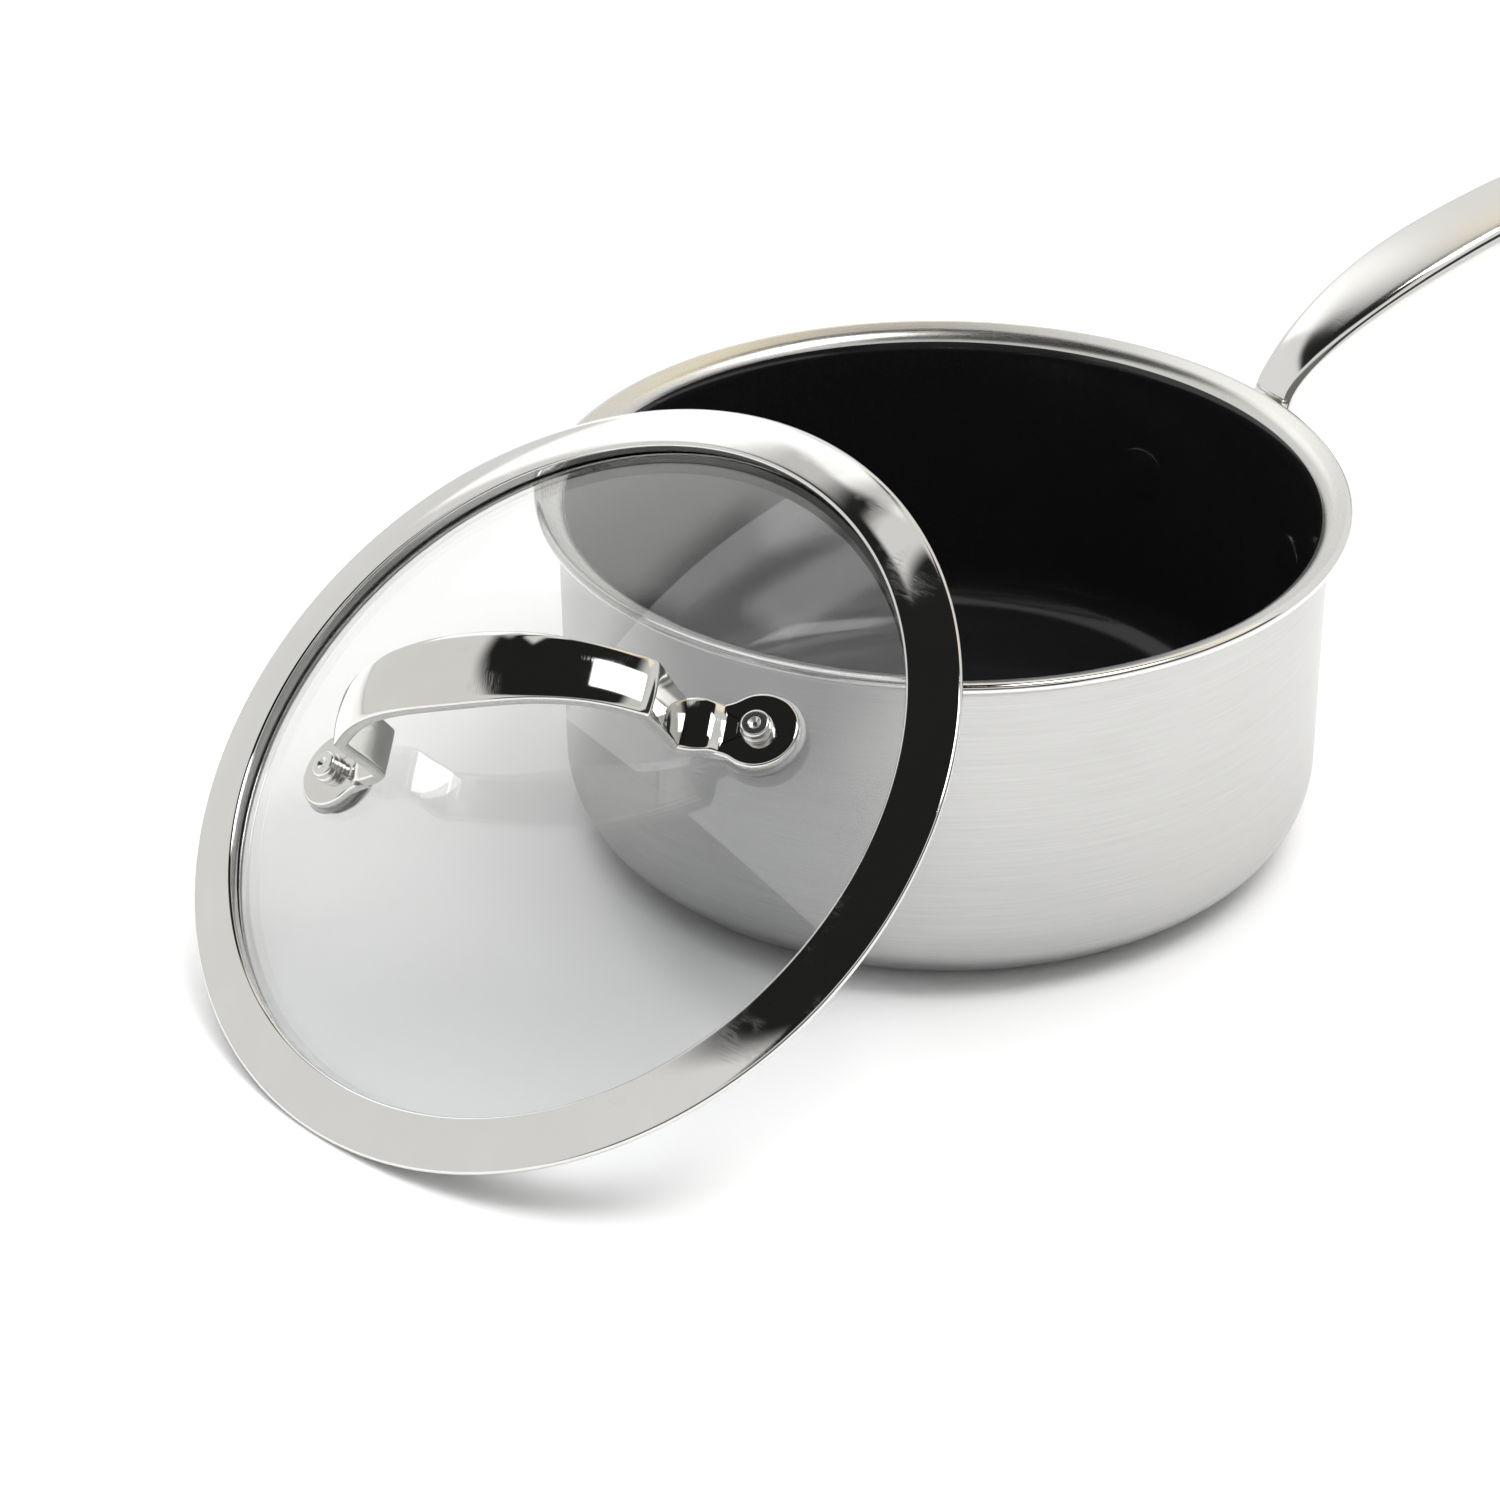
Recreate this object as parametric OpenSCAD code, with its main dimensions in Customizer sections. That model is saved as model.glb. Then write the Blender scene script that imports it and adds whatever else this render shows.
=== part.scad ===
// Saucepan with a glass lid. The origin is the centre of the pan's base,
// +X runs along the long handle and +Z is up. The lid leans on the rim,
// on the side away from the handle, with its lower edge on the table.

/* [Pan] */
// Height of the pan from the base to the top of the rim
pan_height = 85.5; // [70:0.5:120]
// Outer radius of the straight wall
wall_radius = 89.8; // [80:0.2:92]
// Outer radius of the flared rim
rim_radius = 95; // [94:0.5:98]
// Outer radius of the corner between base and wall
corner_radius = 19; // [8:1:24]
// Slope of the pouring lip above level, in degrees
lip_slope = 18; // [8:1:30]

/* [Clad wall] */
// Thickness of the magnetic steel outside
outer_skin_t = 0.5; // [0.4:0.1:0.8]
// Thickness of the aluminium core
core_t = 1.5; // [1:0.1:2]
// Thickness of the steel inside
inner_skin_t = 0.5; // [0.4:0.1:0.6]
// Thickness of the ceramic non-stick coating
coating_t = 0.15; // [0.1:0.05:0.3]
// Radius where the coating stops on the flare
coating_edge_r = 88.3; // [87.8:0.1:89]

/* [Long handle] */
// Length of the handle from the pan's axis to its tip
handle_reach = 285; // [240:5:320]
// Width of the grip
grip_width = 23; // [18:1:27]
// Thickness of the grip
grip_thick = 12; // [9:0.5:14]
// Diameter of the hanging hole
hang_hole_d = 9; // [6:0.5:10]
// Thickness of the flange that hugs the wall
flange_t = 2.8; // [2:0.2:4]
// Angle of each rivet from the handle's centre line
rivet_angle = 19.5; // [16:0.5:22]
// Height of the rivets above the base
rivet_z = 54; // [50:1:58]
// Diameter of a rivet's shank
rivet_d = 6; // [4:0.5:7]
// Diameter of a rivet's flush inner head
rivet_head_d = 12.8; // [10:0.2:14]

/* [Lid] */
// Outer radius of the lid's rim band
lid_radius = 95; // [92:0.5:96]
// Inner radius of the rim band, where the glass shows
band_inner_r = 83.2; // [82:0.2:84]
// Radius of the glass dome's top surface
dome_radius = 255; // [240:5:300]
// Height of the top of the dome above the band's lower face
dome_rise = 15.4; // [15.2:0.1:17]
// Thickness of the glass
glass_t = 4; // [3:0.25:4]

/* [Lid handle] */
// Distance of each stud from the lid's centre
stud_offset = 53; // [48:1:58]
// Diameter of a stud
stud_d = 6; // [5:0.5:7]
// Diameter of the round foot pads
pad_d = 18; // [16:0.5:20]
// Width of the arch at its middle
arch_width = 17.6; // [14:0.2:20]
// Thickness of the arch
arch_thick = 3.2; // [2.4:0.2:4]
// Height of the arch's centre line above the band's lower face
arch_height = 47.2; // [45.7:0.5:50.2]

/* [Lid pose] */
// Lean of the lid from level, in degrees
lid_tilt = 36.7; // [36.7:0.1:37.5]
// Direction in which the lid leans, from the handle's side
lid_heading = -168.9; // [-180:1:-160]
// Distance of the lid's centre from the pan's axis
lid_reach = 120.2; // [120.2:0.1:121]
// Turn of the lid's handle about the lid's own axis
lid_handle_turn = 119.3; // [90:1:150]

/* [Hidden] */
$fn = 120;
far = 200;
loft_sides = 24;
wall_t = outer_skin_t + core_t + inner_skin_t + coating_t;

// Flare of the rim: an arc about flare_x, flare_z, then a straight lip
flare_r = 3;
flare_x = wall_radius + flare_r;
lip_rise = (flare_r + wall_t) / cos(lip_slope) + (rim_radius - flare_x) * tan(lip_slope);
flare_z = pan_height - lip_rise;

// Rivets of the long handle
rivet_head_proud = 0.25;
rivet_head_t = 1.3;
rivet_tail_t = 1.4;
head_inner_x = wall_radius - wall_t - rivet_head_proud;
head_outer_x = head_inner_x + rivet_head_t;
flange_outer_r = wall_radius + flange_t;
rivet_tail_x = flange_outer_r + rivet_tail_t;
rivet_tail_d = rivet_d + 4;

// Flange outline: two round lobes joined by a taller middle
lobe_r = 11;
lobe_y = wall_radius * sin(rivet_angle);
flange_swell = 6;

// Centre line of the long handle as three Bezier curves in the XZ plane
neck_curve = [[90.5, 57], [97, 62], [97.5, 74], [102, 83]];
rise_curve = [[102, 83], [106, 91], [124, 101], [150, 107.8]];
grip_curve = [[150, 107.8], [180, 115.6], [232, 124], [handle_reach, 117]];
neck_width = 14;
neck_thick = 9;
root_width = 24;
root_thick = 6;
tip_thick = 8;
tip_start = 0.86;
tip_min = 0.12;
grip_places = [0, 0.1, 0.2, 0.3, 0.4, 0.5, 0.6, 0.7, 0.8, tip_start, 0.89, 0.92, 0.945, 0.965, 0.98, 0.99, 1];
grip_squareness = 2.6;
hang_hole_x = handle_reach - 12;

// Lid section
hem_r = 0.9;
band_t = 0.9;
band_inner_z = 4.5;
band_crown = 0.35;
lip_r = 0.8;
channel_outer_r = band_inner_r + 3.2;
channel_bottom_z = -4.6;
channel_lip = 1.5;
glass_gap_z = 1.7;
glass_edge_r = channel_outer_r - band_t - 0.4;
dome_z = dome_rise - dome_radius;
lid_rest_z = (lid_radius - hem_r) * sin(lid_tilt) + hem_r - hem_r * cos(lid_tilt);

// Stack of parts at each stud, measured along the stud from the glass's top
stud_slant = asin(stud_offset / dome_radius);
gasket_t = 0.6;
dome_sag = 0.15;
pad_top = 3;
stud_top = pad_top + 3;
stud_crown_d = stud_d + 1;
dimple_d = 2.4;
dimple_depth = 0.8;
gasket_d = pad_d + 1.6;
sleeve_d = stud_d + 2;
lower_gasket_t = 0.8;
washer_t = 1.2;
washer_d = 15;
stud_head_d = 11;
stud_head_t = 1.8;
washer_z = -glass_t - lower_gasket_t - washer_t;

// Half of the lid handle's centre line: arch, leg, and foot out to the pad
fold = [37.4, arch_height - 14.2];
arch_curve = [[0, arch_height], [14.7, arch_height], [25.8, arch_height - 2.4], fold];
leg_curve = [fold, [38.4, 30.6], [37.4, 25.5], [36.8, 20.5]];
foot_curve = [[36.8, 20.5], [36.4, 15.6], [43, 14.6], [49.5, 12.9]];
arch_end_width = 14;
leg_width = 12;
lobe_width = 13.5;
waist_width = 12;
foot_thick = 2.2;
leg_swell = 0.6;
lobe_share = 0.4;
strap_squareness = 4;

function bezier(p, t) = pow(1 - t, 3) * p[0] + 3 * t * pow(1 - t, 2) * p[1]
    + 3 * t * t * (1 - t) * p[2] + pow(t, 3) * p[3];
function slope(p, t) = 3 * pow(1 - t, 2) * (p[1] - p[0]) + 6 * t * (1 - t) * (p[2] - p[1])
    + 3 * t * t * (p[3] - p[2]);
function mix(a, b, t) = a + (b - a) * t;
function ease(t) = t * t * (3 - 2 * t);

// One point of a rounded section: 2 gives an ellipse, more gives squarer sides
function corner(v, power) = sign(v) * pow(abs(v), 2 / power);

// Ring of points about a centre in the XZ plane, square to the direction d
function ring(c, d, w, t, power) = [
    for (i = [0 : loft_sides - 1])
        let (
            a = 360 * i / loft_sides,
            side = w / 2 * corner(cos(a), power),
            lift = t / 2 * corner(sin(a), power),
            n = [-d[1], d[0]] / norm(d)
        )
        [c[0] + n[0] * lift, side, c[1] + n[1] * lift]
];

// Closed solid through a list of rings
module loft(rings) {
    n = loft_sides;
    last = len(rings) - 1;
    points = [for (r = rings) each r];
    sides = [
        for (k = [0 : last - 1], i = [0 : n - 1])
            [k * n + i, (k + 1) * n + i, (k + 1) * n + (i + 1) % n, k * n + (i + 1) % n]
    ];
    start = [for (i = [0 : n - 1]) i];
    end = [for (i = [n - 1 : -1 : 0]) last * n + i];
    polyhedron(points, concat([start], sides, [end]), convexity = 8);
}

// ---- Pan ----

// Half section of all that lies inside the pan's outer face, moved in by inset
module pan_inside(inset) {
    translate([0, inset]) square([wall_radius - corner_radius, flare_z - inset]);
    translate([0, corner_radius]) square([wall_radius - inset, flare_z - corner_radius]);
    intersection() {
        translate([wall_radius - corner_radius, corner_radius]) circle(corner_radius - inset);
        translate([0, 0]) square([wall_radius, corner_radius]);
    }
    difference() {
        translate([0, flare_z]) square([rim_radius, lip_rise]);
        translate([flare_x, flare_z]) circle(flare_r + inset);
        translate([flare_x, flare_z]) rotate(lip_slope)
            translate([0, -far]) square([far, far + flare_r + inset]);
    }
}

// Sheet of metal between two depths below the pan's outer face
module pan_layer(outer, inner) {
    difference() {
        rotate_extrude() difference() {
            pan_inside(outer);
            pan_inside(inner);
        }
        at_rivet(-1) rivet_hole();
        at_rivet(1) rivet_hole();
    }
}

module at_rivet(side) {
    rotate(side * rivet_angle) translate([0, 0, rivet_z]) rotate([0, 90, 0]) children();
}

module rivet_hole() {
    translate([0, 0, wall_radius / 2]) cylinder(d = rivet_head_d, h = head_outer_x - wall_radius / 2);
    translate([0, 0, wall_radius / 2]) cylinder(d = rivet_d, h = wall_radius);
}

module pan_outer_skin() {
    color("silver") pan_layer(0, outer_skin_t);
}

module pan_core() {
    color("gainsboro") pan_layer(outer_skin_t, outer_skin_t + core_t);
}

module pan_inner_skin() {
    color("lightgray") pan_layer(outer_skin_t + core_t, wall_t - coating_t);
}

module nonstick_coating() {
    color([0.06, 0.06, 0.06]) intersection() {
        pan_layer(wall_t - coating_t, wall_t);
        cylinder(r = coating_edge_r, h = pan_height);
    }
}

// ---- Long handle ----

function flange_edge(y) = lobe_r + flange_swell * pow(cos(90 * y / lobe_y), 2);

module flange_outline() {
    for (s = [-1, 1]) translate([s * lobe_y, rivet_z]) circle(lobe_r);
    polygon(concat(
        [for (i = [-12 : 12]) [lobe_y * i / 12, rivet_z + flange_edge(lobe_y * i / 12)]],
        [for (i = [12 : -1 : -12]) [lobe_y * i / 12, rivet_z - flange_edge(lobe_y * i / 12)]]
    ));
}

module flange() {
    intersection() {
        difference() {
            cylinder(r = flange_outer_r, h = pan_height);
            translate([0, 0, -1]) cylinder(r = wall_radius, h = pan_height + 2);
        }
        rotate([90, 0, 90]) linear_extrude(far) flange_outline();
    }
}

neck_rings = [
    for (i = [1 : 9])
        let (t = i / 10)
        ring(bezier(neck_curve, t), slope(neck_curve, t),
            mix(root_width, neck_width, ease(t)), mix(root_thick, neck_thick, ease(t)), grip_squareness)
];
rise_rings = [
    for (i = [0 : 11])
        let (t = i / 12)
        ring(bezier(rise_curve, t), slope(rise_curve, t),
            mix(neck_width, grip_width, ease(t)), mix(neck_thick, grip_thick, ease(t)), grip_squareness)
];
// The tip is rounded in plan, so the last rings shrink along a circle
function tip(t) = let (u = (t - tip_start) / (1 - tip_start)) u <= 0 ? 1 : max(tip_min, sqrt(1 - u * u));
grip_rings = [
    for (t = grip_places)
        ring(bezier(grip_curve, t), slope(grip_curve, t), grip_width * tip(t),
            mix(grip_thick, tip_thick, ease(t)) * mix(1, tip(t), 0.4), grip_squareness)
];

module long_handle() {
    color("silver") difference() {
        union() {
            flange();
            difference() {
                loft(concat(neck_rings, rise_rings, grip_rings));
                cylinder(r = wall_radius + 0.5, h = pan_height);
            }
        }
        translate([hang_hole_x, 0, 0]) cylinder(d = hang_hole_d, h = far);
        at_rivet(-1) rivet_hole();
        at_rivet(1) rivet_hole();
    }
}

module handle_rivet(side) {
    color("dimgray") at_rivet(side) {
        translate([0, 0, head_inner_x]) cylinder(d = rivet_head_d, h = head_outer_x - head_inner_x);
        translate([0, 0, head_inner_x]) cylinder(d = rivet_d, h = rivet_tail_x - head_inner_x);
        translate([0, 0, flange_outer_r]) cylinder(d = rivet_tail_d, h = rivet_tail_x - flange_outer_r);
    }
}

// ---- Lid, drawn level with the band's lower face at z = 0 ----

module on_lid() {
    rotate(lid_heading) translate([lid_reach, 0, lid_rest_z]) rotate([0, lid_tilt, 0]) children();
}

module at_stud(side) {
    rotate(lid_handle_turn) translate([0, 0, dome_z]) rotate([0, side * stud_slant, 0])
        translate([0, 0, dome_radius]) children();
}

module dome_shell(top, bottom, edge_r) {
    intersection() {
        translate([0, 0, channel_bottom_z]) cylinder(r = edge_r, h = dome_rise - channel_bottom_z + 1);
        translate([0, 0, dome_z]) difference() {
            sphere(dome_radius + top, $fn = 360);
            sphere(dome_radius + bottom, $fn = 360);
        }
    }
}

module lid_glass() {
    color("lightcyan", 0.4) on_lid() difference() {
        dome_shell(0, -glass_t, glass_edge_r);
        for (s = [-1, 1]) at_stud(s)
            translate([0, 0, -2 * glass_t]) cylinder(d = sleeve_d, h = 3 * glass_t);
    }
}

// Height of the band's face above its chord, and a point on that face
function band_face(u, drop) = [
    mix(lid_radius - hem_r, band_inner_r + lip_r, u),
    mix(2 * hem_r, band_inner_z, u) + 4 * band_crown * u * (1 - u) - drop
];

// Section of the rim band: crowned face, rolled outer hem, channel for the glass
module band_section() {
    translate([lid_radius - hem_r, hem_r]) circle(hem_r, $fn = 48);
    polygon(concat(
        [for (k = [0 : 8]) band_face(k / 8, 0)],
        [for (k = [8 : -1 : 0]) band_face(k / 8, band_t)]
    ));
    intersection() {
        translate([band_inner_r + lip_r, band_inner_z - lip_r]) circle(lip_r, $fn = 48);
        translate([band_inner_r, band_inner_z - lip_r]) square(lip_r);
    }
    translate([band_inner_r, glass_gap_z]) square([band_t, band_inner_z - lip_r - glass_gap_z]);
    translate([channel_outer_r - band_t, channel_bottom_z])
        square([band_t, band_inner_z - band_t - channel_bottom_z]);
    translate([band_inner_r, channel_bottom_z]) square([channel_outer_r - band_inner_r, band_t]);
    translate([band_inner_r, channel_bottom_z]) square([band_t, channel_lip]);
}

module lid_rim_band() {
    color("gainsboro") on_lid() rotate_extrude() band_section();
}

// Soft seal that fills the channel around the glass's edge
module lid_rim_seal() {
    color("dimgray") on_lid() difference() {
        translate([0, 0, channel_bottom_z + band_t])
            cylinder(r = channel_outer_r - band_t, h = glass_gap_z - channel_bottom_z - band_t);
        translate([0, 0, channel_bottom_z])
            cylinder(r = band_inner_r + band_t, h = dome_rise);
        dome_shell(0, -glass_t, glass_edge_r);
    }
}

half_rings = concat(
    [for (i = [0 : 11]) let (t = i / 12)
        ring(bezier(arch_curve, t), slope(arch_curve, t),
            mix(arch_width, arch_end_width, ease(t)), arch_thick, strap_squareness)],
    [for (i = [0 : 4]) let (t = i / 5)
        ring(bezier(leg_curve, t), slope(leg_curve, t),
            mix(arch_end_width, leg_width, ease(t)), arch_thick + leg_swell * t, strap_squareness)],
    [for (i = [0 : 10]) let (t = i / 10)
        ring(bezier(foot_curve, t), slope(foot_curve, t),
            t < lobe_share ? mix(leg_width, lobe_width, ease(t / lobe_share))
                : mix(lobe_width, waist_width, ease((t - lobe_share) / (1 - lobe_share))),
            mix(arch_thick + leg_swell, foot_thick, t), strap_squareness)]
);
function mirrored(r) = [for (p = r) [-p[0], p[1], p[2]]];
full_rings = concat([for (k = [len(half_rings) - 1 : -1 : 1]) mirrored(half_rings[k])], half_rings);

module lid_handle() {
    color("gainsboro") on_lid() difference() {
        union() {
            rotate(lid_handle_turn) loft(full_rings);
            for (s = [-1, 1]) at_stud(s)
                translate([0, 0, gasket_t]) cylinder(d = pad_d, h = pad_top - gasket_t);
        }
        for (s = [-1, 1]) at_stud(s) cylinder(d = stud_d, h = 2 * pad_top);
    }
}

module lid_stud(side) {
    color("silver") on_lid() at_stud(side) difference() {
        union() {
            translate([0, 0, washer_z]) cylinder(d = stud_d, h = stud_top - washer_z);
            translate([0, 0, pad_top]) cylinder(d = stud_crown_d, h = stud_top - pad_top);
            translate([0, 0, washer_z - stud_head_t]) cylinder(d = stud_head_d, h = stud_head_t);
        }
        translate([0, 0, stud_top - dimple_depth])
            cylinder(d1 = dimple_d / 3, d2 = dimple_d, h = dimple_depth + 0.1);
    }
}

// Clear washer under the foot pad, with a sleeve through the glass
module lid_upper_gasket(side) {
    color("whitesmoke", 0.6) on_lid() at_stud(side) difference() {
        union() {
            cylinder(d = gasket_d, h = gasket_t);
            translate([0, 0, -glass_t]) cylinder(d = sleeve_d, h = glass_t);
        }
        translate([0, 0, -2 * glass_t]) cylinder(d = stud_d, h = 4 * glass_t);
    }
}

module lid_lower_gasket(side) {
    color("whitesmoke", 0.6) on_lid() at_stud(side)
        translate([0, 0, -glass_t - lower_gasket_t]) ring_washer(washer_d + 2, lower_gasket_t - dome_sag);
}

module lid_washer(side) {
    color("silver") on_lid() at_stud(side) translate([0, 0, washer_z]) ring_washer(washer_d, washer_t);
}

module ring_washer(d, h) {
    difference() {
        cylinder(d = d, h = h);
        translate([0, 0, -1]) cylinder(d = stud_d, h = h + 2);
    }
}

pan_outer_skin();
pan_core();
pan_inner_skin();
nonstick_coating();
long_handle();
handle_rivet(1);  // handle_rivet_left
handle_rivet(-1);  // handle_rivet_right
lid_glass();
lid_rim_band();
lid_rim_seal();
lid_handle();
lid_stud(-1);  // lid_stud_left
lid_stud(1);  // lid_stud_right
lid_upper_gasket(-1);  // lid_upper_gasket_left
lid_upper_gasket(1);  // lid_upper_gasket_right
lid_lower_gasket(-1);  // lid_lower_gasket_left
lid_lower_gasket(1);  // lid_lower_gasket_right
lid_washer(-1);  // lid_washer_left
lid_washer(1);  // lid_washer_right
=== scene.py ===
"""Saucepan with a glass lid: fine pieces, finishes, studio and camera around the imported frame.

Sizes are written in millimetres, as a maker would, and become metres in each mesh.
Turned pieces come from a half section, swept pieces from a centre line with a width,
a thickness and an edge rounding at each station.
"""
from math import acos, asin, atan2, cos, degrees, pi, radians, sin, sqrt, tan

import bmesh
import bpy
from mathutils import Matrix, Vector


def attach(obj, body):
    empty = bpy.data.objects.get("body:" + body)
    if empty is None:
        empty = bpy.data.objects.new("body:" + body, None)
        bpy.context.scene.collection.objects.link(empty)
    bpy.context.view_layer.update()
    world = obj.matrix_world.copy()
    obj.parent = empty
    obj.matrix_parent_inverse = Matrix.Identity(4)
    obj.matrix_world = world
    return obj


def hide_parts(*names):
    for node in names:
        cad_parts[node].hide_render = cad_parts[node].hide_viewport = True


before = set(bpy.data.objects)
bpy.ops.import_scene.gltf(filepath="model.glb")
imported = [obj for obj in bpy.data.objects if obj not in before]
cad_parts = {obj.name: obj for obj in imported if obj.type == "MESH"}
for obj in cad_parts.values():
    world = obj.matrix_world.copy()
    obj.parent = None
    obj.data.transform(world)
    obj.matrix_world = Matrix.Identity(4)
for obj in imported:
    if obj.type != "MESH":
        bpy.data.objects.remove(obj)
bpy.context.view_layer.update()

MM = 0.001
WELD = 0.0005
HARD_EDGE = radians(35)

# ---- Pan ----
PAN_HEIGHT = 85.5
WALL_R = 89.8
RIM_R = 95.0
CORNER_R = 19.0
LIP_SLOPE = radians(18)
SKIN = 0.5
CORE = 1.5
METAL = SKIN + CORE + SKIN
COATING = 0.15
COATING_EDGE_R = 88.3
FLARE_R = 3.0
FLARE_X = WALL_R + FLARE_R
LIP_RISE = (FLARE_R + METAL + COATING) / cos(LIP_SLOPE) + (RIM_R - FLARE_X) * tan(LIP_SLOPE)
FLARE_Z = PAN_HEIGHT - LIP_RISE
EDGE_R = METAL / 2

# ---- Long handle ----
REACH = 285.0
GRIP_W = 23.0
GRIP_T = 12.0
GRIP_CROWN = 0.01
ROOT_W, ROOT_T = 24, 6
NECK_W, NECK_T = 14, 9
ROOT_EDGE, NECK_EDGE, GRIP_EDGE = 2.6, 3.6, 4.6
TIP_START = 0.86
TIP_T = 8
HOLE_X = REACH - 12.0
HOLE_R = 4.5
HOLE_PLACE = 0.945
HOLE_ROUND = 1.6
FLANGE_T = 2.8
RIVET_ANGLE = radians(19.5)
RIVET_Z = 54.0
RIVET_R = 3.0
RIVET_HEAD_R = 6.4
RIVET_HEAD_T = 1.3
RIVET_TAIL_R = 5.0
RIVET_TAIL_T = 1.4
HEAD_PROUD = 0.25
LOBE_R = 11.0
LOBE_Y = WALL_R * sin(RIVET_ANGLE)
FLANGE_SWELL = 6.0

# ---- Lid ----
LID_R = 95.0
BAND_IN_R = 83.2
HEM_R = 0.9
BAND_T = 0.9
BAND_IN_Z = 4.5
BAND_CROWN = 0.35
LIP_R = 0.8
CHANNEL_R = BAND_IN_R + 3.2
CHANNEL_Z = -4.6
CHANNEL_LIP = 1.5
GLASS_GAP_Z = 1.7
DOME_R = 255.0
DOME_RISE = 15.4
GLASS_T = 4.0
GLASS_EDGE_R = CHANNEL_R - BAND_T - 0.4
STUD_OUT = 53.0
STUD_R = 3.0
STUD_HEAD_R = 5.5
STUD_HEAD_T = 1.8
WASHER_R = 7.5
WASHER_T = 1.2
LOWER_GASKET_R = 8.5
LOWER_GASKET_T = 0.8
WASHER_Z = -GLASS_T - LOWER_GASKET_T - WASHER_T
PAD_R = 9.0
GASKET_T = 0.6
PAD_TOP = 3.0
STUD_TOP = 6.0
STUD_CROWN_R = 3.5
ARCH_W = 17.6
ARCH_T = 3.2
STRAP_EDGE = 0.9
FOLD = (37.4, 33.0)
FOLD_W = 13.6
KNUCKLE_X = 40.5
KNUCKLE_Z = 17.2
KNUCKLE_REACH = 3.2
LEG_W = 12.2
WAIST_W = 11.6
FOOT_T = 2.4

# ---- Where the lid leans ----
TILT = radians(36.7)
HEADING = radians(-168.9)
LID_REACH = 120.2
HANDLE_TURN = radians(119.3)
LID_REST_Z = (LID_R - HEM_R) * sin(TILT) + HEM_R - HEM_R * cos(TILT)
STUD_SLANT = asin(STUD_OUT / DOME_R)

HERE = Matrix.Identity(4)


def turn(angle, axis):
    return Matrix.Rotation(angle, 4, axis)


def shift(x, y, z):
    return Matrix.Translation((x, y, z))


LID = turn(HEADING, "Z") @ shift(LID_REACH, 0, LID_REST_Z) @ turn(TILT, "Y")
LID_HANDLE = LID @ turn(HANDLE_TURN, "Z")


def at_stud(side):
    """Frame whose Z runs along a stud, with its zero on the glass."""
    return LID_HANDLE @ shift(0, 0, DOME_RISE - DOME_R) @ turn(side * STUD_SLANT, "Y") @ shift(0, 0, DOME_R)


def at_rivet(side):
    """Frame whose Z runs out through the pan's wall along a rivet."""
    return turn(side * RIVET_ANGLE, "Z") @ shift(0, 0, RIVET_Z) @ turn(pi / 2, "Y")


# ---- Node nets: sockets that add their own Math nodes ----


class Sock:
    def __init__(self, net, socket):
        self.net, self.socket = net, socket

    def math(self, operation, *others):
        return self.net.math(operation, self, *others)

    def __add__(self, other):
        return self.math("ADD", other)

    def __radd__(self, other):
        return self.math("ADD", other)

    def __sub__(self, other):
        return self.math("SUBTRACT", other)

    def __rsub__(self, other):
        return self.net.math("SUBTRACT", other, self)

    def __mul__(self, other):
        return self.math("MULTIPLY", other)

    def __rmul__(self, other):
        return self.math("MULTIPLY", other)

    def __truediv__(self, other):
        return self.math("DIVIDE", other)

    def within(self, low, high):
        """0 at low, 1 at high, smooth between."""
        return self.net.add("ShaderNodeMapRange", {"interpolation_type": "SMOOTHSTEP"},
                            {"Value": self, "From Min": low, "From Max": high})

    def clipped(self):
        return self.math("MAXIMUM", 0.0).math("MINIMUM", 1.0)


class Net:
    def __init__(self, tree):
        self.tree = tree

    def add(self, kind, settings=None, values=None, out=0):
        """A node of any kind: settings first, then values or links of its sockets."""
        node = self.tree.nodes.new(kind)
        for name, value in (settings or {}).items():
            setattr(node, name, value)
        for name, value in (values or {}).items():
            self.put(node.inputs[name], value)
        return Sock(self, node.outputs[out] if node.outputs else None)

    def put(self, socket, value):
        if isinstance(value, Sock):
            self.tree.links.new(value.socket, socket)
        else:
            socket.default_value = value

    def math(self, operation, *values):
        return self.add("ShaderNodeMath", {"operation": operation}, dict(enumerate(values)))

    def vmath(self, operation, *values, out=0):
        return self.add("ShaderNodeVectorMath", {"operation": operation}, dict(enumerate(values)), out)

    def xyz(self, vector):
        """The three parts of a vector."""
        first = self.add("ShaderNodeSeparateXYZ", None, {0: vector})
        return [Sock(self, s) for s in first.socket.node.outputs]

    def join(self, x, y, z):
        return self.add("ShaderNodeCombineXYZ", None, {0: x, 1: y, 2: z})

    def mix(self, factor, a, b):
        """Mix of two colours."""
        node = self.tree.nodes.new("ShaderNodeMix")
        node.data_type = "RGBA"
        self.put(node.inputs["Factor"], factor)
        colours = [s for s in node.inputs if s.type == "RGBA"]
        for socket, value in zip(colours, (a, b)):
            self.put(socket, value)
        return Sock(self, [s for s in node.outputs if s.type == "RGBA"][0])


# ---- Finishes ----


def finish_net(name):
    material = bpy.data.materials.new(name)
    material.use_nodes = True
    tree = material.node_tree
    tree.nodes.clear()
    return material, Net(tree)


def close_net(net, **sockets):
    """Adds the Principled shader and the output."""
    shader = net.add("ShaderNodeBsdfPrincipled", None,
                     {name.replace("_", " "): value for name, value in sockets.items()})
    net.add("ShaderNodeOutputMaterial", None, {"Surface": shader})
    return shader


def centred(net, place):
    """Object coordinates in millimetres, seen from the frame where the piece was turned."""
    coords = net.add("ShaderNodeTexCoord", out=3)
    local = (Matrix.Scale(MM, 4) @ place @ Matrix.Scale(1 / MM, 4)).inverted()
    placed = net.add("ShaderNodeMapping", {"vector_type": "POINT"},
                     {"Vector": coords, "Location": local.translation, "Rotation": local.to_euler()})
    return net.vmath("MULTIPLY", placed, (1 / MM, 1 / MM, 1 / MM))


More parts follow.
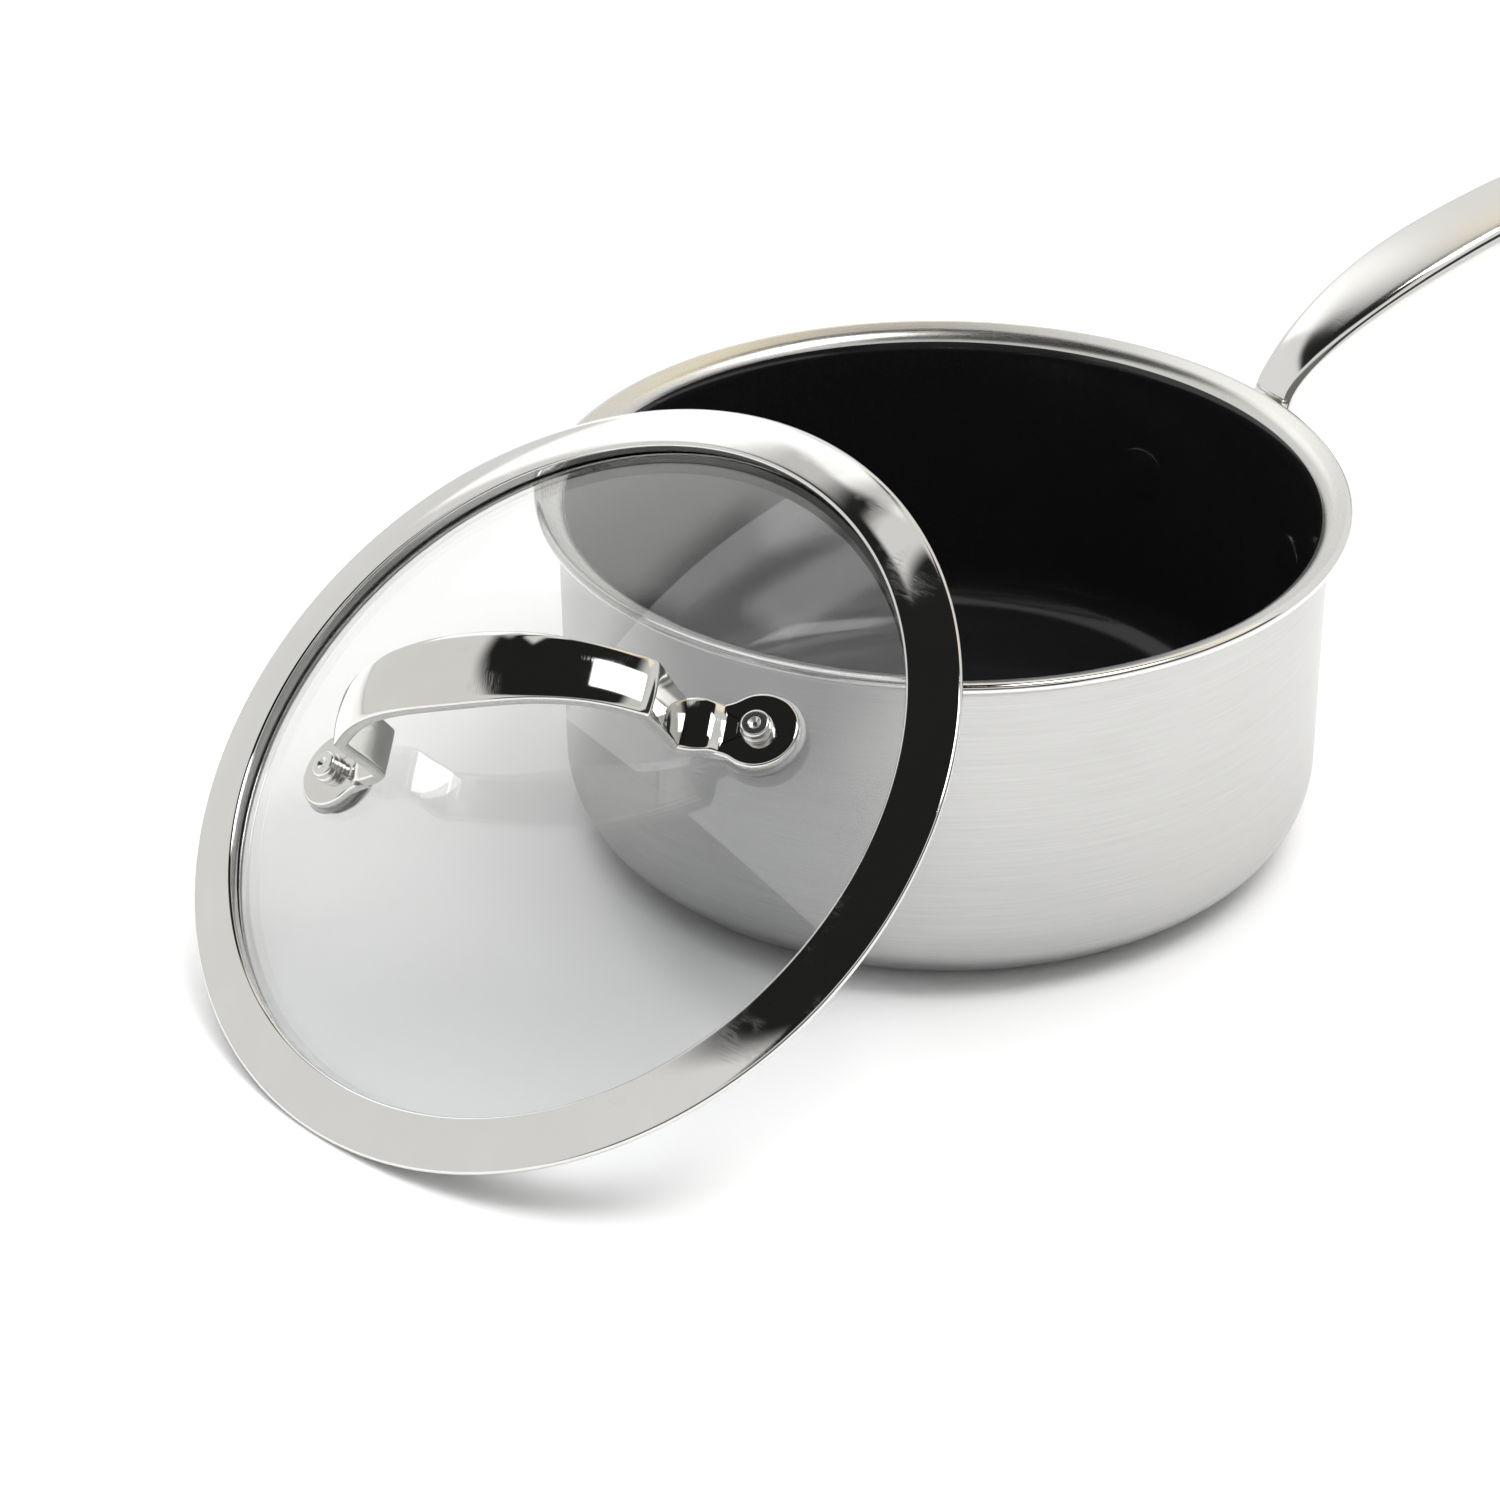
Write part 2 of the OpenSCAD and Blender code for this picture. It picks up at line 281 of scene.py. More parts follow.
def noise(net, vector, scale, detail=2.0, rough=0.5, w=None):
    values = {"Vector": vector, "Scale": scale, "Detail": detail, "Roughness": rough}
    if w is not None:
        values["W"] = w
    return net.add("ShaderNodeTexNoise", {"noise_dimensions": "3D" if w is None else "4D"}, values)


def turned_lines(net, vector, pitch, wander, detail=3.0):
    """Fine marks that run round the axis, as brushing or turning leaves them."""
    x, y, z = net.xyz(vector)
    radius = (x * x + y * y).math("SQRT").math("MAXIMUM", 0.001)
    across = net.join(radius / pitch, z / pitch, x / radius * wander)
    return noise(net, across, 1.0, detail, 0.6, y / radius * wander)


def scratches(net, vector, turns, fineness, sharp):
    """Thin straight marks in several directions, kept to patches."""
    total = None
    for k, angles in enumerate(turns):
        stretched = net.add("ShaderNodeMapping", {"vector_type": "POINT"},
                            {"Vector": vector, "Location": (7.0 * k, 3.0 * k, 0), "Rotation": angles,
                             "Scale": (fineness, fineness * 0.03, fineness * 0.03)})
        line = noise(net, stretched, 1.0, 1.0)
        thin = 1 - ((line - 0.5).math("ABSOLUTE") / sharp).clipped()
        total = thin if total is None else total.math("MAXIMUM", thin)
    patch = noise(net, vector, 0.12, 2.0).within(0.45, 0.7)
    return total * patch


def brushed(name, place, light, dark, rough, pitch, wander, depth, stretch=0.5):
    """Steel brushed round its axis."""
    material, net = finish_net(name)
    at = centred(net, place)
    fine = turned_lines(net, at, pitch, wander)
    dash = turned_lines(net, at, pitch * 1.8, wander * 4, 1.0).within(0.55, 0.8)
    cloud = noise(net, at, 0.02, 2.0)
    tone = (fine * 0.8 - dash * 0.12 + cloud * 0.25).within(0.3, 0.72)
    bump = net.add("ShaderNodeBump", None, {"Strength": 0.35, "Distance": depth * MM, "Height": fine})
    close_net(net, Base_Color=net.mix(tone, (*dark, 1), (*light, 1)), Metallic=1.0,
              Roughness=rough + (fine - 0.5) * 0.08 + (cloud - 0.5) * 0.05, Anisotropic=stretch, Normal=bump)
    return material


def polished(name, place, colour, rough, wear=0.05, wave=0.0, satin_top=0.0):
    """Mirror polish with faint hairline scratches, wipe marks and a trace of unevenness. satin_top
    adds roughness to the faces that look up."""
    material, net = finish_net(name)
    at = centred(net, place)
    marks = scratches(net, at, ((0.2, 0.5, 0.3), (0.4, 1.3, 1.9), (1.2, 0.1, 2.6)), 2.2, 0.012)
    wipe = noise(net, at, 0.06, 3.0, 0.6).within(0.4, 0.75)
    ripple = noise(net, at, 0.07, 1.0)
    height = marks * -0.008 + ripple * wave
    bump = net.add("ShaderNodeBump", None, {"Strength": 0.25, "Distance": MM, "Height": height})
    pale = tuple(min(1.0, c * 1.03) for c in colour)
    roughness = rough + marks * wear + wipe * 0.012
    if satin_top:
        facing = net.xyz(net.add("ShaderNodeNewGeometry", out=1))[2]
        grain = noise(net, at, 2.4, 3.0)
        roughness = roughness + facing.within(0.74, 0.93) * (grain * 0.3 + 0.85) * satin_top
    close_net(net, Base_Color=net.mix(wipe, (*colour, 1), (*pale, 1)), Metallic=1.0,
              Roughness=roughness, Normal=bump)
    return material


def satin(name, place, colour, rough):
    """Evenly spun satin steel with very fine rings."""
    material, net = finish_net(name)
    at = centred(net, place)
    rings = turned_lines(net, at, 0.16, 9.0)
    cloud = noise(net, at, 0.05, 2.0)
    dark = tuple(c * 0.93 for c in colour)
    bump = net.add("ShaderNodeBump", None, {"Strength": 0.2, "Distance": 0.004 * MM, "Height": rings})
    close_net(net, Base_Color=net.mix((rings * 0.7 + cloud * 0.3).within(0.3, 0.7), (*dark, 1), (*colour, 1)),
              Metallic=1.0, Roughness=rough + (rings - 0.5) * 0.12, Anisotropic=0.3, Normal=bump)
    return material


def black_coating(name):
    """Sprayed ceramic: black, half glossy, with a faint orange peel and fine mineral flecks."""
    material, net = finish_net(name)
    at = centred(net, HERE)
    peel = noise(net, at, 1.6, 2.0)
    cloud = noise(net, at, 0.05, 3.0)
    fleck = noise(net, at, 6.0, 0.0).within(0.74, 0.8)
    rub = turned_lines(net, at, 1.1, 5.0).within(0.55, 0.8)
    bump = net.add("ShaderNodeBump", None, {"Strength": 0.3, "Distance": 0.02 * MM, "Height": peel})
    close_net(net, Base_Color=net.mix(fleck * 0.5, (0.01, 0.01, 0.011, 1), (0.05, 0.05, 0.052, 1)),
              Roughness=0.14 + (cloud - 0.5) * 0.05 + rub * 0.05, Normal=bump)
    return material


def clear_glass(name):
    """Tempered glass with a trace of wipe marks and a grey tint that is painted shade. Lamps shine through it.
    """
    material, net = finish_net(name)
    at = centred(net, LID)
    smear = noise(net, at, 0.05, 3.0, 0.6).within(0.55, 0.8)
    # The grey base colour is painted shade: it darkens the floor and pan seen through the glass, standing in
    # for the shade under the lid.
    pane = net.add("ShaderNodeBsdfPrincipled", None, {
        "Base Color": (0.67, 0.675, 0.675, 1), "Roughness": smear * 0.012, "IOR": 1.68,
        "Transmission Weight": 1.0})
    lamps = net.add("ShaderNodeLightPath", out=1)
    clear = net.add("ShaderNodeBsdfTransparent", None, {"Color": (0.86, 0.87, 0.87, 1)})
    both = net.add("ShaderNodeMixShader", None, {0: lamps, 1: pane, 2: clear})
    net.add("ShaderNodeOutputMaterial", None, {"Surface": both})
    return material


def soft_silicone(name, place, colour, clear):
    """Milky moulded silicone."""
    material, net = finish_net(name)
    at = centred(net, place)
    haze = noise(net, at, 0.9, 3.0)
    bump = net.add("ShaderNodeBump", None, {"Strength": 0.1, "Distance": 0.05 * MM, "Height": haze})
    dark = tuple(c * 0.9 for c in colour)
    close_net(net, Base_Color=net.mix(haze.within(0.3, 0.7), (*dark, 1), (*colour, 1)),
              Roughness=0.35 + haze * 0.15, Transmission_Weight=clear, IOR=1.41, Normal=bump)
    return material


def rolled_aluminium(name):
    """Plain rolled sheet, hidden inside the clad wall."""
    material, net = finish_net(name)
    at = centred(net, HERE)
    grain = turned_lines(net, at, 0.5, 3.0)
    close_net(net, Base_Color=net.mix(grain, (0.62, 0.62, 0.63, 1), (0.78, 0.78, 0.79, 1)), Metallic=1.0,
              Roughness=0.4 + grain * 0.15)
    return material


def turned_steel(name, place):
    """Lathe-turned steel, lightly polished."""
    material, net = finish_net(name)
    at = centred(net, place)
    grain = noise(net, at, 3.5, 3.0)
    soft = noise(net, at, 0.4, 2.0)
    bump = net.add("ShaderNodeBump", None, {"Strength": 0.2, "Distance": 0.01 * MM, "Height": grain})
    close_net(net, Base_Color=net.mix(soft, (0.60, 0.60, 0.60, 1), (0.74, 0.74, 0.73, 1)), Metallic=1.0,
              Roughness=0.16 + grain * 0.14, Normal=bump)
    return material


# ---- Geometry nets ----


def geometry_net(name, inputs):
    """A Geometry Nodes tree with its named inputs: {name: (socket type, value)}."""
    tree = bpy.data.node_groups.new(name, "GeometryNodeTree")
    tree.interface.new_socket("Geometry", in_out="INPUT", socket_type="NodeSocketGeometry")
    tree.interface.new_socket("Geometry", in_out="OUTPUT", socket_type="NodeSocketGeometry")
    for label, (kind, value) in inputs.items():
        socket = tree.interface.new_socket(label, in_out="INPUT", socket_type=kind)
        if value is not None:
            socket.default_value = value
    net = Net(tree)
    start = tree.nodes.new("NodeGroupInput")
    given = {s.name: Sock(net, s) for s in start.outputs if s.name}
    return tree, net, given


def close_geometry(net, geometry, material):
    whole = net.add("GeometryNodeRealizeInstances", None, {0: geometry})
    coloured = net.add("GeometryNodeSetMaterial", None, {"Geometry": whole, "Material": material})
    end = net.tree.nodes.new("NodeGroupOutput")
    net.put(end.inputs[0], coloured)


def unit_sheet(net, columns, rows):
    """A flat grid with its column and row numbers, each from 0."""
    grid = net.add("GeometryNodeMeshGrid", None, {
        "Size X": 1.0, "Size Y": 1.0, "Vertices X": columns, "Vertices Y": rows})
    x, y, _ = net.xyz(net.add("GeometryNodeInputPosition"))
    return grid, ((x + 0.5) * (columns - 1)).math("ROUND"), ((y + 0.5) * (rows - 1)).math("ROUND")


def sampled(net, source, kind, index, name=None):
    """A value of the source's points by their number: its place, or a named attribute."""
    if name is None:
        value = net.add("GeometryNodeInputPosition")
    else:
        value = net.add("GeometryNodeInputNamedAttribute", {"data_type": kind}, {"Name": name})
    return net.add("GeometryNodeSampleIndex", {"data_type": kind, "domain": "POINT"},
                   {"Geometry": source, "Value": value, "Index": index})


def turning_tree():
    """Turns a half section, given as a line of points in the XZ plane, about the Z axis."""
    tree, net, given = geometry_net("turned piece", {
        "Sides": ("NodeSocketInt", 192), "Rows": ("NodeSocketInt", 2), "Points": ("NodeSocketInt", 2),
        "Material": ("NodeSocketMaterial", None)})
    grid, column, row = unit_sheet(net, given["Sides"] + 1, given["Rows"])
    index = row.math("FLOORED_MODULO", given["Points"])
    point = sampled(net, given["Geometry"], "FLOAT_VECTOR", index)
    radius, _, height = net.xyz(point)
    angle = column / given["Sides"] * (2 * pi)
    place = net.join(radius * angle.math("COSINE"), radius * angle.math("SINE"), height)
    moved = net.add("GeometryNodeSetPosition", None, {"Geometry": grid, "Position": place})
    merged = net.add("GeometryNodeMergeByDistance", None, {"Geometry": moved, "Distance": WELD})
    close_geometry(net, net.add("GeometryNodeSetShadeSmooth", None, {0: merged}), given["Material"])
    return tree


def sweeping_tree():
    """Sweeps a rounded oblong along a line of points in the XZ plane. Each point has its width,
    thickness, edge rounding and the direction of its normal."""
    tree, net, given = geometry_net("swept strap", {
        "Sides": ("NodeSocketInt", 72), "Rings": ("NodeSocketInt", 2), "Flatness": ("NodeSocketFloat", 2.4),
        "Crown": ("NodeSocketFloat", 0.0), "Material": ("NodeSocketMaterial", None)})
    grid, ring, step = unit_sheet(net, given["Rings"], given["Sides"] + 1)
    line = given["Geometry"]
    centre = sampled(net, line, "FLOAT_VECTOR", ring)
    normal = sampled(net, line, "FLOAT_VECTOR", ring, "lift")
    width, thick, edge = (sampled(net, line, "FLOAT", ring, name) for name in ("width", "thick", "edge"))
    angle = step / given["Sides"] * (2 * pi)
    cosine, sine = angle.math("COSINE"), angle.math("SINE")

    def flat(value):
        return (value * given["Flatness"]).math("MAXIMUM", -1.0).math("MINIMUM", 1.0)

    run = flat(cosine)
    side = run * (width / 2 - edge) + cosine * edge
    up = flat(sine) * (thick / 2 - edge) + sine * edge
    bulge = (1 - run * run) * flat(sine).math("MAXIMUM", 0.0) * given["Crown"] * width
    lift = net.vmath("MULTIPLY", normal, net.join(up + bulge, 0.0, up + bulge))
    place = net.vmath("ADD", centre, net.vmath("ADD", net.join(0.0, side, 0.0), lift))
    moved = net.add("GeometryNodeSetPosition", None, {"Geometry": grid, "Position": place})
    merged = net.add("GeometryNodeMergeByDistance", None, {"Geometry": moved, "Distance": WELD})
    close_geometry(net, net.add("GeometryNodeSetShadeSmooth", None, {0: merged}), given["Material"])
    return tree


TURNING = turning_tree()
SWEEPING = sweeping_tree()


def grown(name, source, tree, values):
    """Runs a tree on a mesh and returns the result as a plain mesh object."""
    holder = bpy.data.objects.new("source", source)
    bpy.context.scene.collection.objects.link(holder)
    modifier = holder.modifiers.new("tree", "NODES")
    modifier.node_group = tree
    for item in tree.interface.items_tree:
        if item.in_out == "INPUT" and item.name in values:
            modifier[item.identifier] = values[item.name]
    view = bpy.context.evaluated_depsgraph_get()
    mesh = bpy.data.meshes.new_from_object(holder.evaluated_get(view), depsgraph=view)
    bpy.data.objects.remove(holder)
    mesh.name = name
    piece = bpy.data.objects.new(name, mesh)
    bpy.context.scene.collection.objects.link(piece)
    return piece


def face_out(mesh):
    """Turns all faces when the closed mesh is inside out."""
    bm = bmesh.new()
    bm.from_mesh(mesh)
    if bm.calc_volume(signed=True) < 0:
        bmesh.ops.reverse_faces(bm, faces=bm.faces)
    bm.to_mesh(mesh)
    bm.free()


def settle(piece, place, crease=40):
    """Puts the mesh in its place, in metres, faces out, with only real edges sharp."""
    piece.data.transform(Matrix.Scale(MM, 4) @ place)
    face_out(piece.data)
    piece.data.polygons.foreach_set("use_smooth", [True] * len(piece.data.polygons))
    piece.data.set_sharp_from_angle(angle=radians(crease))
    return piece


def turned(name, section, material, place=HERE, sides=192, closed=False, crease=40):
    """A turned piece from (radius, height) points."""
    line = bpy.data.meshes.new("section")
    links = [(i, i + 1) for i in range(len(section) - 1)]
    line.from_pydata([(r, 0, z) for r, z in section], links, [])
    rows = len(section) + (1 if closed else 0)
    piece = grown(name, line, TURNING, {
        "Sides": sides, "Rows": rows, "Points": len(section), "Material": material})
    return settle(piece, place, crease)


def swept(name, stations, material, place=HERE, sides=72, flatness=2.4, crown=0.0):
    """A swept piece from (x, z, width, thickness, edge) stations."""
    count = len(stations)
    line = bpy.data.meshes.new("centre line")
    links = [(i, i + 1) for i in range(count - 1)]
    line.from_pydata([(s[0], 0, s[1]) for s in stations], links, [])
    lifts = []
    for i in range(count):
        a, b = stations[max(i - 1, 0)], stations[min(i + 1, count - 1)]
        dx, dz = b[0] - a[0], b[1] - a[1]
        length = sqrt(dx * dx + dz * dz) or 1.0
        lifts += [-dz / length, 0.0, dx / length]
    line.attributes.new("lift", "FLOAT_VECTOR", "POINT").data.foreach_set("vector", lifts)
    for k, label in enumerate(("width", "thick", "edge"), 2):
        values = line.attributes.new(label, "FLOAT", "POINT").data
        values.foreach_set("value", [s[k] for s in stations])
    piece = grown(name, line, SWEEPING, {
        "Sides": sides, "Rings": count, "Flatness": flatness, "Crown": crown, "Material": material})
    return settle(piece, place)


def joined(name, pieces):
    """One closed piece from several that overlap."""
    first = pieces[0]
    for other in pieces[1:]:
        combine(first, other, "UNION")
    first.name = first.data.name = name
    first.data.set_sharp_from_angle(angle=HARD_EDGE)
    return first


def combine(piece, tool, operation):
    """Joins or cuts a piece with a tool, which is used up."""
    modifier = piece.modifiers.new("cut", "BOOLEAN")
    modifier.operation, modifier.object, modifier.solver = operation, tool, "MANIFOLD"
    view = bpy.context.evaluated_depsgraph_get()
    mesh = bpy.data.meshes.new_from_object(piece.evaluated_get(view), depsgraph=view)
    piece.modifiers.clear()
    piece.data = mesh
    bpy.data.objects.remove(tool)


# ---- Lines ----


def arc(x, z, radius, start, end, steps):
    """Points of an arc, with angles in degrees from +X towards +Z."""
    return [(x + radius * cos(radians(start + (end - start) * k / steps)),
             z + radius * sin(radians(start + (end - start) * k / steps))) for k in range(steps + 1)]


def eased(corners, steps=5):
    """A line through (x, z, rounding) corners, each rounded by its own radius."""
    line = []
    for i, (x, z, radius) in enumerate(corners):
        here = Vector((x, z))
        if radius == 0 or i in (0, len(corners) - 1):
            line.append((x, z))
            continue
        back = (Vector(corners[i - 1][:2]) - here).normalized()
        on = (Vector(corners[i + 1][:2]) - here).normalized()
        half = acos(max(-1, min(1, back.dot(on)))) / 2
        reach = radius / tan(half)
        centre = here + (back + on).normalized() * radius / sin(half)
        a, b = here + back * reach - centre, here + on * reach - centre
        swing = atan2(a.x * b.y - a.y * b.x, a.dot(b))
        for k in range(steps + 1):
            t = swing * k / steps
            line.append((centre.x + a.x * cos(t) - a.y * sin(t),
                         centre.y + a.x * sin(t) + a.y * cos(t)))
    return line


def bezier(p, t):
    u = 1 - t
    shares = (u ** 3, 3 * t * u * u, 3 * t * t * u, t ** 3)
    return tuple(sum(share * point[k] for share, point in zip(shares, p)) for k in (0, 1))


def mix(a, b, t):
    return a + (b - a) * t


def ease(t):
    return t * t * (3 - 2 * t)


def spaced(line, gap):
    """The same line with points added so that none are further apart than gap."""
    out = [line[0]]
    for a, b in zip(line, line[1:]):
        pieces = max(1, int(sqrt((b[0] - a[0]) ** 2 + (b[1] - a[1]) ** 2) / gap))
        out += [(mix(a[0], b[0], k / pieces), mix(a[1], b[1], k / pieces)) for k in range(1, pieces + 1)]
    return out


# ---- Pan ----

LIP_OUT = (cos(LIP_SLOPE), sin(LIP_SLOPE))
LIP_UP = degrees(LIP_SLOPE) + 90
LIP_RUN = (RIM_R - EDGE_R - FLARE_X - (FLARE_R + EDGE_R) * cos(radians(LIP_UP))) / LIP_OUT[0]


def pan_line(inset, lip=1.0):
    """Half section of the pan at a depth below its outer face, from the axis to the lip."""
    flare = arc(FLARE_X, FLARE_Z, FLARE_R + inset, 180, LIP_UP, 14)
    end = (flare[-1][0] + LIP_OUT[0] * LIP_RUN * lip, flare[-1][1] + LIP_OUT[1] * LIP_RUN * lip)
    corner = arc(WALL_R - CORNER_R, CORNER_R, CORNER_R - inset, -90, 0, 24)
    return spaced([(0.0, inset)] + corner + flare + [end], 6.0)


def pan_sheet(outer, inner, lip=1.0):
    return pan_line(outer, lip) + pan_line(inner, lip)[::-1]


def pan_pieces():
    brush = brushed("brushed stainless wall", HERE, (0.53, 0.53, 0.525), (0.46, 0.46, 0.455),
                    0.30, 0.24, 3.0, 0.004)
    wall = turned("brushed_outer_wall", pan_sheet(0, SKIN), brush, sides=256)
    rolled = rolled_aluminium("rolled aluminium core")
    core = turned("aluminium_core", pan_sheet(SKIN, SKIN + CORE, 0.9), rolled)
    spun = satin("satin spun stainless", HERE, (0.66, 0.655, 0.635), 0.27)
    lining = turned("satin_steel_lining", pan_sheet(SKIN + CORE, METAL), spun, sides=256)
    black = black_coating("black ceramic coating")
    coating = turned("ceramic_coating", coating_section(), black, sides=256)
    bright = polished("polished rim edge", HERE, (0.72, 0.715, 0.70), 0.05)
    edge = turned("polished_rim_edge", rim_edge_section(), bright, sides=256, closed=True)
    for piece, node, slot in ((wall, "pan_outer_skin", "brushed_stainless"),
                              (core, "pan_core", "core_aluminium"),
                              (lining, "pan_inner_skin", "satin_stainless"),
                              (coating, "nonstick_coating", "black_ceramic"),
                              (edge, None, "satin_stainless")):
        mount(piece, "pan", slot, node)


def coating_section():
    """The coating follows the lining and thins out where the flare begins."""
    outer = [p for p in pan_line(METAL) if p[0] < COATING_EDGE_R]
    inner = [p for p in pan_line(METAL + COATING) if p[0] < COATING_EDGE_R - 0.12]
    return outer + inner[::-1]


def rim_edge_section():
    """Half-round edge that closes the clad sheet."""
    flare_end = arc(FLARE_X, FLARE_Z, FLARE_R + EDGE_R, 180, LIP_UP, 1)[-1]
    x, z = flare_end[0] + LIP_OUT[0] * LIP_RUN, flare_end[1] + LIP_OUT[1] * LIP_RUN
    nose = arc(x, z, EDGE_R + 0.004, LIP_UP, LIP_UP - 180, 20)
    inside = [(x - LIP_OUT[0] * 0.2 + s * 0.6 * sin(LIP_SLOPE),
               z - LIP_OUT[1] * 0.2 - s * 0.6 * cos(LIP_SLOPE)) for s in (1, -1)]
    return nose + inside


# ---- Long handle ----

NECK = ((90.5, 57), (97, 62), (97.5, 74), (102, 83))
RISE = ((102, 83), (106, 91), (124, 101), (150, 107.8))
GRIP = ((150, 107.8), (180, 115.6), (232, 124), (REACH, 117))


def tip(t):
    """Plan width of the grip, which ends in a half round."""
    u = (t - TIP_START) / (1 - TIP_START)
    return 1.0 if u <= 0 else sqrt(max(0.0, 1 - u * u))


def grip_stations():
    """The handle from the flange up the neck, over the bend and along the grip to its tip."""
    stations = []
    for k in range(4, 60):
        t = k / 60
        stations.append((*bezier(NECK, t), mix(ROOT_W, NECK_W, ease(t)), mix(ROOT_T, NECK_T, ease(t)),
                         mix(ROOT_EDGE, NECK_EDGE, t)))
    for k in range(60):
        t = k / 60
        stations.append((*bezier(RISE, t), mix(NECK_W, GRIP_W, ease(t)), mix(NECK_T, GRIP_T, ease(t)),
                         mix(NECK_EDGE, GRIP_EDGE, t)))
    ends = [TIP_START * k / 60 for k in range(60)]
    ends += [TIP_START + (1 - TIP_START) * sin(radians(90 * k / 24)) for k in range(25)]
    for t in ends:
        full = tip(t)
        thick = mix(GRIP_T, TIP_T, ease(t)) * mix(1, full, 0.45) if full > 0.02 else 0.0
        width = GRIP_W * full
        edge = min(GRIP_EDGE, thick * 0.48, max(width, 0.01) * 0.48)
        stations.append((*bezier(GRIP, t), width, thick, edge))
    sunk = [(x, z - GRIP_CROWN * width, width, thick, edge) for x, z, width, thick, edge in stations]
    return [(*stations[0][:2], 0.0, 0.0, 0.0)] + sunk


def flange_edge(y):
    return LOBE_R + FLANGE_SWELL * cos(pi / 2 * y / LOBE_Y) ** 2


def flange_outline():
    """Outline of the flange as (y, z) points, anticlockwise from outside."""
    right = arc(LOBE_Y, RIVET_Z, LOBE_R, -90, 90, 24)
    top = [(LOBE_Y * k / 12, RIVET_Z + flange_edge(LOBE_Y * k / 12)) for k in range(11, -12, -1)]
    left = arc(-LOBE_Y, RIVET_Z, LOBE_R, 90, 270, 24)
    bottom = [(LOBE_Y * k / 12, RIVET_Z - flange_edge(LOBE_Y * k / 12)) for k in range(-11, 12)]
    return right + top + left + bottom


def inset_outline(outline, depth):
    """The outline moved inwards."""
    moved, count = [], len(outline)
    for i, (x, y) in enumerate(outline):
        a, b = outline[i - 1], outline[(i + 1) % count]
        dx, dy = b[0] - a[0], b[1] - a[1]
        length = sqrt(dx * dx + dy * dy) or 1.0
        moved.append((x - dy / length * depth, y + dx / length * depth))
    return moved


def plate(name, outline, low, high, rounding, spot, material, place=HERE):
    """A flat piece with a rounded top edge. spot(x, y, height) puts each point in space."""
    rings = [(outline, low)]
    for k in range(7):
        angle = pi / 2 * k / 6
        ring = inset_outline(outline, rounding * (1 - cos(angle)))
        rings.append((ring, high - rounding * (1 - sin(angle))))
    top = rings[-1][0]
    centre = (sum(p[0] for p in top) / len(top), sum(p[1] for p in top) / len(top))
    for share in (0.85, 0.7, 0.5, 0.3, 0.12):
        rings.append(([(mix(centre[0], x, share), mix(centre[1], y, share)) for x, y in top], high))
    back = [([(mix(centre[0], x, share), mix(centre[1], y, share)) for x, y in outline], low)
            for share in (0.12, 0.5, 0.8)]
    rings = back + rings
    count = len(outline)
    points = [spot(x, y, height) for ring, height in rings for x, y in ring]
    points += [spot(*centre, low), spot(*centre, high)]
    faces = [(k * count + i, k * count + (i + 1) % count,
              (k + 1) * count + (i + 1) % count, (k + 1) * count + i)
             for k in range(len(rings) - 1) for i in range(count)]
    last = (len(rings) - 1) * count
    faces += [(len(points) - 2, (i + 1) % count, i) for i in range(count)]
    faces += [(len(points) - 1, last + i, last + (i + 1) % count) for i in range(count)]
    mesh = bpy.data.meshes.new(name)
    mesh.from_pydata(points, [], faces)
    mesh.materials.append(material)
    piece = bpy.data.objects.new(name, mesh)
    bpy.context.scene.collection.objects.link(piece)
    return settle(piece, place)


def long_handle():
    steel = polished("polished cast stainless", HERE, (0.70, 0.695, 0.68), 0.09, 0.06, 0.01, 0.24)
    grip = swept("grip", grip_stations(), steel, sides=80, flatness=2.0, crown=GRIP_CROWN)

    def on_wall(y, z, height):
        return (sqrt((WALL_R + height) ** 2 - y * y), y, z)

    flange = plate("flange", flange_outline(), 0.02, FLANGE_T, 1.1, on_wall, steel)
    handle = joined("long_handle_grip", [grip, flange])
    wide, low, high = 9, 108.0, 130.0
    mid = bezier(GRIP, HOLE_PLACE)[1]
    cut = [(0, low), (wide, low)] + arc(HOLE_R + HOLE_ROUND, mid - 3.6, HOLE_ROUND, 240, 180, 6)
    cut += arc(HOLE_R + HOLE_ROUND, mid + 3.4, HOLE_ROUND, 180, 120, 6) + [(wide, high), (0, high)]
    combine(handle, turned("drill", cut, steel, shift(HOLE_X, 0, 0), 64), "DIFFERENCE")
    handle.data.set_sharp_from_angle(angle=HARD_EDGE)
    mount(handle, "pan", "polished_stainless", "long_handle")


def rivets():
    """Round steel button outside, flush head inside with its coated cap, one through each side."""
    steel, black = turned_steel("turned rivet steel", HERE), black_coating("coated rivet head")
    tail_z = WALL_R + FLANGE_T + RIVET_TAIL_T
    head_z = WALL_R - METAL - COATING - HEAD_PROUD
    for side, name in ((1, "left"), (-1, "right")):
        section = [(0, head_z), (RIVET_HEAD_R, head_z), (RIVET_HEAD_R, head_z + RIVET_HEAD_T),
                   (RIVET_R, head_z + RIVET_HEAD_T)]
        section += eased([(RIVET_R, WALL_R + FLANGE_T, 0), (RIVET_TAIL_R, WALL_R + FLANGE_T, 0.2),
                          (RIVET_TAIL_R, tail_z, 1.1), (0, tail_z, 0)])
        piece = turned(f"rivet_{name}", section, steel, at_rivet(side), 96)
        mount(piece, "pan", "rivet_steel", f"handle_rivet_{name}")
        face, back, reach = head_z - 0.12, head_z + 0.5, RIVET_HEAD_R + 0.05
        shell = [(0, face)] + eased([(0, face, 0), (reach, face, 0.35), (reach, back, 0)])[1:]
        cap = turned(f"rivet_cap_{name}", shell + [(0, back)], black, at_rivet(side), 96)
        mount(cap, "pan", "black_ceramic")


# ---- Lid ----


def band_face(u, drop):
    return (mix(LID_R - HEM_R, BAND_IN_R + LIP_R, u),
            mix(2 * HEM_R, BAND_IN_Z, u) + 4 * BAND_CROWN * u * (1 - u) - drop)


